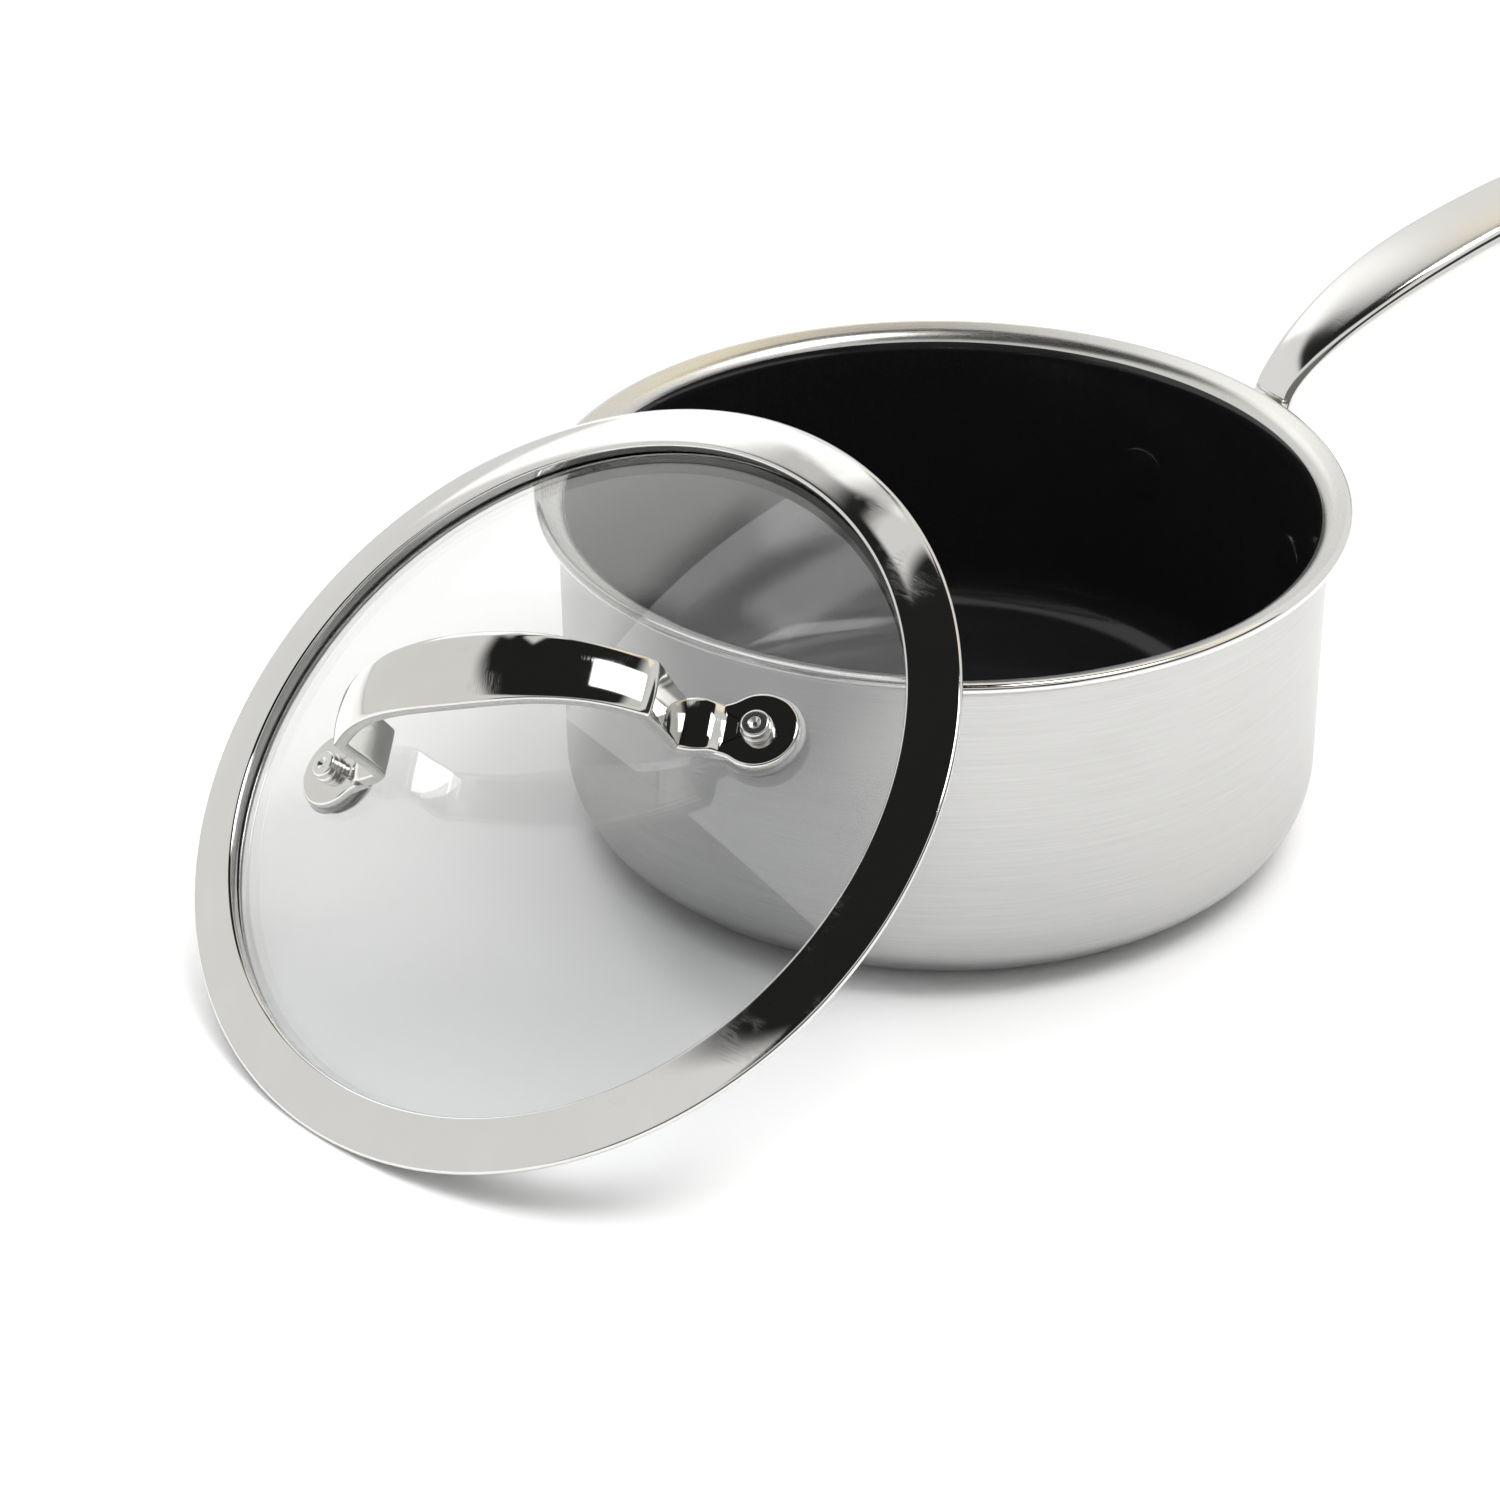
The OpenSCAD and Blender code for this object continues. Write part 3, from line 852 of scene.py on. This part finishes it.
def band_section():
    """Crowned face, rolled hem outside, rounded lip inside and the channel that grips the glass."""
    face = [band_face(k / 24, 0) for k in range(25)]
    hem = arc(LID_R - HEM_R, HEM_R, HEM_R, -90, 86, 16)
    lip = arc(BAND_IN_R + LIP_R, BAND_IN_Z - LIP_R, LIP_R, 88, 180, 10)
    front, wall, roof = BAND_IN_R + BAND_T, CHANNEL_R - BAND_T, 3.3
    low, hook = CHANNEL_Z + BAND_T, CHANNEL_Z + CHANNEL_LIP
    under = eased([(BAND_IN_R, GLASS_GAP_Z + 0.3, 0), (BAND_IN_R, GLASS_GAP_Z, 0.3), (front, GLASS_GAP_Z, 0.3),
                   (front, roof, 0.4), (wall, roof, 0.4), (wall, low, 0.5), (front, low, 0.3),
                   (front, hook, 0.4), (BAND_IN_R, hook, 0.4), (BAND_IN_R, CHANNEL_Z, 0.8),
                   (CHANNEL_R, CHANNEL_Z, 1.2), (CHANNEL_R, 3.0, 1.0),
                   (CHANNEL_R + 1.2, band_face(0.58, BAND_T)[1], 0)])
    back = [band_face(k / 12, BAND_T) for k in range(6, -1, -1)]
    return hem + face[1:-1] + lip + under + back


def dome_z(radius, depth=0.0):
    """Height of the glass dome's face at a radius, or of a face below it."""
    return DOME_RISE - DOME_R + sqrt((DOME_R - depth) ** 2 - radius ** 2)


def glass_section():
    radii = [GLASS_EDGE_R * k / 40 for k in range(40)]
    top = [(radius, dome_z(radius)) for radius in radii]
    bottom = [(radius, dome_z(radius, GLASS_T)) for radius in radii[::-1]]
    edge = eased([(*top[-1], 0), (GLASS_EDGE_R, dome_z(GLASS_EDGE_R), 0.5),
                  (GLASS_EDGE_R, dome_z(GLASS_EDGE_R, GLASS_T), 0.5), (*bottom[0], 0)])
    return top + edge[1:-1] + bottom


def seal_section():
    """U channel between the band and the edge of the glass."""
    front, wall = BAND_IN_R + BAND_T + 0.05, CHANNEL_R - BAND_T - 0.05
    groove = GLASS_EDGE_R + 0.05
    low, high = CHANNEL_Z + BAND_T + 0.05, GLASS_GAP_Z - 0.05
    under, over = dome_z(front, GLASS_T) - 0.05, dome_z(front) + 0.05
    return [(front, low), (wall, low), (wall, high), (front, high), (front, over), (groove, over - 0.4),
            (groove, under), (front, under)]


def lid_plate_pieces():
    mirror = polished("mirror stainless band", LID, (0.66, 0.655, 0.64), 0.035)
    band = turned("lid_band", band_section(), mirror, LID, 320, closed=True)
    mount(band, "lid", "mirror_stainless", "lid_rim_band")
    pane = turned("lid_pane", glass_section(), clear_glass("clear tempered glass"), LID, 256)
    for side in (-1, 1):
        drill = turned("drill", [(0, -9), (4, -9), (4, 6), (0, 6)], None, at_stud(side), 64)
        combine(pane, drill, "DIFFERENCE")
    pane.data.set_sharp_from_angle(angle=radians(30))
    mount(pane, "lid", "clear_glass", "lid_glass")
    grey = soft_silicone("grey seal", LID, (0.12, 0.12, 0.12), 0.0)
    seal = turned("lid_seal", seal_section(), grey, LID, 192, closed=True)
    mount(seal, "lid", "seal_rubber", "lid_rim_seal")


def strap_stations():
    """Right half of the lid handle's strap: arch, leg with a crisp fold at each end, and foot."""
    arch = [bezier(((0, 47.2), (14.7, 47.2), (25.8, 44.8), FOLD), k / 40) for k in range(40)]
    leg = spaced(eased([(*FOLD, 0), (FOLD[0] + 0.2, FOLD[1] - 0.5, 0.4), (36.9, KNUCKLE_Z, 1.0),
                        (43.4, 15.1, 1.5), (45.8, 13.0, 1.2), (48.8, 12.2, 0)], 6), 0.7)
    stations = [(x, z, mix(ARCH_W, FOLD_W, ease(k / 40)), ARCH_T, STRAP_EDGE) for k, (x, z) in enumerate(arch)]
    for x, z in leg:
        down = ease(max(0.0, min(1.0, (FOLD[1] - z) / 12)))
        knuckle = max(0.0, 1 - ((x - KNUCKLE_X) / KNUCKLE_REACH) ** 2) if z < KNUCKLE_Z + 1 else 0.0
        foot = ease(max(0.0, min(1.0, (x - 42) / 4)))
        thick = mix(ARCH_T + 0.5 * knuckle, FOOT_T, foot)
        width = mix(mix(FOLD_W, LEG_W, down) + 0.8 * knuckle, WAIST_W, foot)
        stations.append((x, z, width, thick, STRAP_EDGE))
    return stations


def foot_outline():
    """Round pad with a neck that runs back under the strap."""
    neck, back = 5.9, -11.5
    start = degrees(asin(neck / PAD_R)) + 14
    round_end = arc(0, 0, PAD_R, -(180 - start), 180 - start, 48)
    last = round_end[-1]
    fillet = (last, (last[0] - 2.2, last[1] - 1.4), (-9.5, neck), (back, neck))
    upper = [bezier(fillet, k / 8) for k in range(1, 9)]
    return round_end + upper + [(x, -y) for x, y in upper[::-1]]


def lid_handle():
    mirror = polished("mirror stainless handle", LID_HANDLE, (0.63, 0.625, 0.605), 0.03)
    half = strap_stations()
    line = [(-s[0], *s[1:]) for s in half[:0:-1]] + half
    ends = [(s[0], s[1], 0.0, 0.0, 0.0) for s in (line[0], line[-1])]
    strap = swept("strap", [ends[0]] + line + [ends[1]], mirror, LID_HANDLE, 72, 2.6, 0.035)
    pieces = [strap]
    for side in (-1, 1):
        spot = at_stud(side) @ turn(0 if side > 0 else pi, "Z")
        pieces.append(plate("foot", foot_outline(), GASKET_T, PAD_TOP, STRAP_EDGE, lambda x, y, h: (x, y, h),
                            mirror, spot))
    handle = joined("lid_handle_arch", pieces)
    for side in (-1, 1):
        bore = [(0, -3), (STUD_R + 0.02, -3), (STUD_R + 0.02, 9), (0, 9)]
        combine(handle, turned("drill", bore, mirror, at_stud(side), 64), "DIFFERENCE")
    handle.data.set_sharp_from_angle(angle=HARD_EDGE)
    mount(handle, "lid", "mirror_stainless", "lid_handle")


def stud_section():
    """Head under the glass, shank, collar on the pad and a rounded crown with a small dimple."""
    foot, collar, crown = WASHER_Z - STUD_HEAD_T, STUD_CROWN_R + 0.1, STUD_CROWN_R - 0.2
    seat, dimple = PAD_TOP + 0.02, STUD_TOP - 0.7
    head = eased([(0, foot, 0), (STUD_HEAD_R, foot, 0.8), (STUD_HEAD_R, WASHER_Z, 0.1), (STUD_R, WASHER_Z, 0)])
    top = eased([(STUD_R, WASHER_Z, 0), (STUD_R, seat, 0), (collar, seat, 0.1), (collar, PAD_TOP + 1, 0.3),
                 (crown, PAD_TOP + 1.2, 0.2), (crown, STUD_TOP, 0.7), (1.4, STUD_TOP, 0.3),
                 (0.5, dimple, 0.2), (0, dimple, 0)])
    return [(0, foot)] + head + top[1:]


def upper_gasket_section():
    """Lines the hole in the glass and spreads under the foot's pad."""
    bush, brim = STUD_R + 1, PAD_R + 0.8
    return eased([(STUD_R, -GLASS_T, 0), (bush, -GLASS_T, 0.1), (bush, -0.02, 0.05), (brim, 0.0, 0.1),
                  (brim, GASKET_T, 0.25), (STUD_R, GASKET_T, 0)])


def ring_section(low, high, radius, low_round, high_round):
    return eased([(STUD_R, low, 0), (radius, low, low_round), (radius, high, high_round), (STUD_R, high, 0)])


def lid_fixings():
    steel = turned_steel("turned stud steel", LID)
    clear = soft_silicone("clear silicone", LID, (0.86, 0.87, 0.87), 0.75)
    gasket_z = WASHER_Z + WASHER_T
    lower = ring_section(gasket_z, gasket_z + LOWER_GASKET_T, LOWER_GASKET_R, 0.25, 0.2)
    washer = ring_section(WASHER_Z, gasket_z, WASHER_R, 0.3, 0.1)
    parts = {"stud": (stud_section(), steel, "stud_steel", "lid_stud", False),
             "upper_gasket": (upper_gasket_section(), clear, "clear_silicone", "lid_upper_gasket", True),
             "lower_gasket": (lower, clear, "clear_silicone", "lid_lower_gasket", True),
             "washer": (washer, steel, "stud_steel", "lid_washer", True)}
    for kind, (section, material, slot, node, ring) in parts.items():
        for side, name in ((-1, "left"), (1, "right")):
            piece = turned(f"{kind}_{name}", section, material, at_stud(side), 96, closed=ring)
            mount(piece, "lid", slot, f"{node}_{name}")


def mount(piece, body, slot, node=None):
    """Rides on its body and stands for its CAD node, whose part it hides. The slot is not used."""
    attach(piece, body)
    if node:
        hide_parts(node)


# ---- Studio ----


def camera():
    """Standing height, in front and to the left, looking down at the pan."""
    heading, down, roll = radians(57.127), radians(30.425), radians(-0.475)
    ahead = Vector((cos(heading) * cos(down), sin(heading) * cos(down), -sin(down)))
    across = Vector((sin(heading), -cos(heading), 0))
    up = across.cross(ahead)
    x = cos(roll) * across + sin(roll) * up
    y = cos(roll) * up - sin(roll) * across
    lens = bpy.data.cameras.new("camera")
    lens.lens, lens.sensor_width, lens.clip_start, lens.clip_end = 96.65, 36.0, 0.02, 50.0
    body = bpy.data.objects.new("camera", lens)
    body.matrix_world = Matrix((x, y, -ahead)).transposed().to_4x4()
    body.location = (-0.4964, -0.6833, 0.5092)
    bpy.context.scene.collection.objects.link(body)
    bpy.context.scene.camera = body


def direction(azimuth, elevation):
    a, e = radians(azimuth), radians(elevation)
    return Vector((cos(a) * cos(e), sin(a) * cos(e), sin(e)))


def soft_panel(net, sky, azimuth, elevation, wide, tall, soft, lean=0.0):
    """Mask of an oblong soft light seen in a direction, sizes as half angles in degrees."""
    middle = direction(azimuth, elevation)
    across = middle.cross(Vector((0, 0, 1))).normalized()
    up = across.cross(middle)
    lean = radians(lean)
    across, up = across * cos(lean) + up * sin(lean), up * cos(lean) - across * sin(lean)
    ahead = net.vmath("DOT_PRODUCT", sky, tuple(middle), out=1)
    safe = ahead.math("MAXIMUM", 0.02)

    def inside(axis, half):
        out = (net.vmath("DOT_PRODUCT", sky, tuple(axis), out=1) / safe).math("ABSOLUTE")
        return 1 - out.within(tan(radians(half)), tan(radians(half + soft)))

    return inside(across, wide) * inside(up, tall) * ahead.within(0.02, 0.1)


def studio_light():
    """Pale sweep low down, dark ceiling and front, a bright box behind, a small one overhead, a warm strip."""
    world = bpy.data.worlds.new("studio")
    world.use_nodes = True
    world.node_tree.nodes.clear()
    net = Net(world.node_tree)
    sky = net.add("ShaderNodeTexCoord", out=0)
    height = net.xyz(sky)[2]
    ceiling = height.within(sin(radians(45)), sin(radians(51)))
    front = soft_panel(net, sky, -62, 25, 34, 9, 5)
    front_glow = soft_panel(net, sky, -40, 50, 34, 9, 5)
    back_box = soft_panel(net, sky, 85, 41, 11, 13, 4)
    back_rise = soft_panel(net, sky, 50, 54, 20, 7, 4)
    back_strip = soft_panel(net, sky, 83, 64, 9, 2, 3)
    left_front = soft_panel(net, sky, -128, 15, 34, 15, 8)
    top_box = soft_panel(net, sky, -50, 67, 8, 11, 3, -12)
    warm = soft_panel(net, sky, 22, 52, 22, 5, 3)
    level = 0.93 * (1 - ceiling) * (1 - front * 0.97) * (1 - left_front * 0.8) + 0.02
    level = level + (front_glow + back_rise) * ceiling * 0.8 + back_box * 0.75 + back_strip * 0.9
    level = level + top_box * 7.0 + warm * 0.5
    tint = net.mix(warm, (1, 0.995, 0.98, 1), (1, 0.87, 0.62, 1))
    shine = net.add("ShaderNodeBackground", None, {"Color": tint, "Strength": level})
    net.add("ShaderNodeOutputWorld", None, {"Surface": shine})
    bpy.context.scene.world = world

    lamp = bpy.data.lights.new("large overhead softbox", "AREA")
    lamp.shape, lamp.size, lamp.size_y, lamp.energy = "RECTANGLE", 2.1, 2.1, 31
    stand = bpy.data.objects.new("large overhead softbox", lamp)
    stand.matrix_world = shift(0.15, 0.1, 1.5)
    stand.visible_glossy = False
    bpy.context.scene.collection.objects.link(stand)


def floor():
    material, net = finish_net("pale studio sweep")
    at = centred(net, HERE)
    grain = noise(net, at, 0.02, 2.0)
    close_net(net, Base_Color=net.mix(grain, (0.90, 0.90, 0.905, 1), (0.93, 0.93, 0.935, 1)), Roughness=0.75)
    mesh = bpy.data.meshes.new("floor")
    half = 8.0
    corners = [(-half, -half, 0), (half, -half, 0), (half, half, 0), (-half, half, 0)]
    mesh.from_pydata(corners, [], [(0, 1, 2, 3)])
    mesh.materials.append(material)
    sheet = bpy.data.objects.new("floor", mesh)
    bpy.context.scene.collection.objects.link(sheet)


camera()
studio_light()
floor()
pan_pieces()
long_handle()
rivets()
lid_plate_pieces()
lid_handle()
lid_fixings()

bpy.context.scene.view_settings.view_transform = "Standard"
